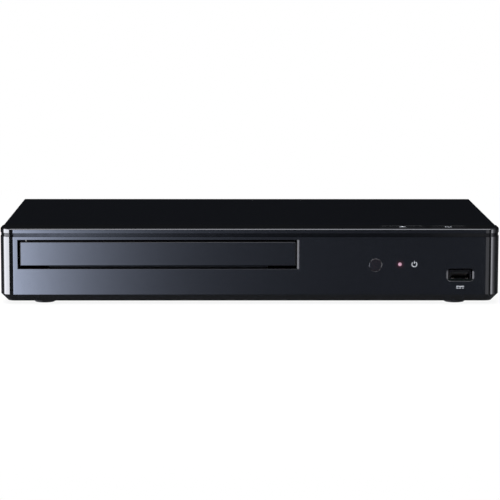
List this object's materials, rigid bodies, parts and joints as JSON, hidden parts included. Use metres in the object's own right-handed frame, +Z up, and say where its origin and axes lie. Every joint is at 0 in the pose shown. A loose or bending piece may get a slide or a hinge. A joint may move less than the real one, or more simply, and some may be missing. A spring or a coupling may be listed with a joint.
{
  "type": "blu-ray player",
  "caption": "Compact blu-ray player: slim black housing with a front-loading disc tray, flush top buttons, USB socket, tray loader, tilting pickup unit and rear sockets.",
  "frame": {"origin": "middle of the footprint, on the surface that the feet stand on", "axes": "+X to the right seen from the front, +Y to the back, +Z up; the tray opens towards -Y"},
  "size_m": [0.313, 0.18, 0.0478],
  "materials": {
    "gloss_black": "gloss",
    "satin_black_steel": "satin",
    "zinc_steel": "satin",
    "steel": "satin",
    "black_steel": "satin",
    "aluminium": "satin",
    "ferrite": "matte",
    "brass": "satin",
    "rubber": "matte",
    "black_plastic": "matte",
    "white_plastic": "matte",
    "orange_plastic": "gloss",
    "board": "satin",
    "dark_window": "gloss",
    "clear_guide": "gloss",
    "lens_glass": "clear"
  },
  "bodies": {
    "housing": {"board_connectors": "white_plastic", "bottom_chassis": "zinc_steel", "case_screws": "black_steel", "clamp_bridge": "zinc_steel", "coax_jack": "orange_plastic", "drive_belt": "rubber", "drive_ribbon": "white_plastic", "front_board": "board", "front_panel": "gloss_black", "hdmi_socket": "steel", "ir_receiver": "black_plastic", "ir_window": "dark_window", "key_board": "board", "lan_socket": "steel", "loader_frame": "black_plastic", "loading_motor": "steel", "main_board": "board", "main_capacitors": "aluminium", "main_chips": "black_plastic", "main_heatsink": "aluminium", "mains_fuse": "lens_glass", "mains_inlet": "black_plastic", "mains_inlet_pins": "brass", "panel_ribbon": "white_plastic", "power_board": "board", "power_capacitors": "aluminium", "power_harness": "white_plastic", "power_heatsink": "aluminium", "power_light": "clear_guide", "power_light_guide": "clear_guide", "power_transformer": "ferrite", "rear_panel": "satin_black_steel", "rubber_feet": "rubber", "tact_switches": "steel", "top_cover": "satin_black_steel", "usb_socket_shell": "steel", "usb_socket_tongue": "black_plastic"},
    "tray": {"tray_door": "gloss_black", "disc_tray": "black_plastic"},
    "tray_gear": {"tray_gear": "white_plastic"},
    "pulley_gear": {"pulley_gear": "white_plastic"},
    "motor_pulley": {"motor_pulley": "white_plastic"},
    "slide_cam": {"slide_cam": "white_plastic"},
    "lift": {"lift_frame": "black_plastic", "rubber_dampers": "rubber", "traverse_plate": "steel", "spindle_motor": "steel", "guide_rods": "steel", "feed_motor": "steel"},
    "spindle": {"turntable": "white_plastic"},
    "sled": {"pickup_sled": "aluminium", "sled_follower": "white_plastic"},
    "lens": {"lens_holder": "black_plastic", "objective_lens": "lens_glass"},
    "lead_screw": {"lead_screw": "steel"},
    "clamper": {"clamp_puck": "white_plastic"},
    "power_button": {"power_button": "gloss_black", "power_switch_plunger": "black_plastic"},
    "open_close_button": {"open_close_button": "gloss_black", "open_close_switch_plunger": "black_plastic"}
  },
  "joints": [
    {"name": "tray_slide", "type": "slide", "parent": "housing", "child": "tray", "axis": [0, -1, 0], "range_m": [0, 0.135]},
    {"name": "tray_gear_spin", "type": "hinge", "parent": "housing", "child": "tray_gear", "pos_m": [-0.10815, -0.071, 0.025], "axis": [0, 0, 1], "range_deg": [0, 705]},
    {"name": "pulley_gear_spin", "type": "hinge", "parent": "housing", "child": "pulley_gear", "pos_m": [-0.09215, -0.071, 0.022], "axis": [0, 0, 1], "range_deg": [-1548, 0]},
    {"name": "motor_pulley_spin", "type": "hinge", "parent": "housing", "child": "motor_pulley", "pos_m": [-0.05415, -0.071, 0.021], "axis": [0, 0, 1], "range_deg": [-4251, 0]},
    {"name": "traverse_lift", "type": "hinge", "parent": "housing", "child": "lift", "pos_m": [-0.0574, 0.071, 0.0166], "axis": [-1, 0, 0], "range_deg": [0, 4.31]},
    {"name": "cam_slide", "type": "slide", "parent": "housing", "child": "slide_cam", "axis": [1, 0, 0], "range_m": [0, 0.0245]},
    {"name": "spindle_spin", "type": "hinge", "parent": "lift", "child": "spindle", "pos_m": [-0.0574, -0.02091, 0.02522], "axis": [0, -0.0751, 0.9972], "continuous": true},
    {"name": "sled_feed", "type": "slide", "parent": "lift", "child": "sled", "axis": [0, 0.9972, 0.0751], "range_m": [0, 0.034]},
    {"name": "lead_screw_spin", "type": "hinge", "parent": "lift", "child": "lead_screw", "pos_m": [-0.0234, 0.01001, 0.01421], "axis": [0, 0.9972, 0.0751], "range_deg": [-4082, 0]},
    {"name": "lens_focus", "type": "slide", "parent": "sled", "child": "lens", "axis": [0, -0.0751, 0.9972], "range_m": [-0.0006, 0.0006], "stiffness_N_per_m": 60},
    {"name": "clamper_spin", "type": "hinge", "parent": "housing", "child": "clamper", "pos_m": [-0.0574, -0.02, 0.0375], "axis": [0, 0, 1], "continuous": true},
    {"name": "power_press", "type": "slide", "parent": "housing", "child": "power_button", "axis": [0, 0, -1], "range_m": [0, 0.0004], "stiffness_N_per_m": 1500},
    {"name": "open_close_press", "type": "slide", "parent": "housing", "child": "open_close_button", "axis": [0, 0, -1], "range_m": [0, 0.0004], "stiffness_N_per_m": 1500}
  ],
  "couplings": [
    {"joint": "tray_gear_spin", "follows": "tray_slide", "rad_per_m": 90.909},
    {"joint": "pulley_gear_spin", "follows": "tray_slide", "rad_per_m": -200},
    {"joint": "motor_pulley_spin", "follows": "tray_slide", "rad_per_m": -549.37},
    {"joint": "cam_slide", "follows": "traverse_lift", "m_per_rad": 0.32593},
    {"joint": "lead_screw_spin", "follows": "sled_feed", "rad_per_m": -2094.4}
  ]
}
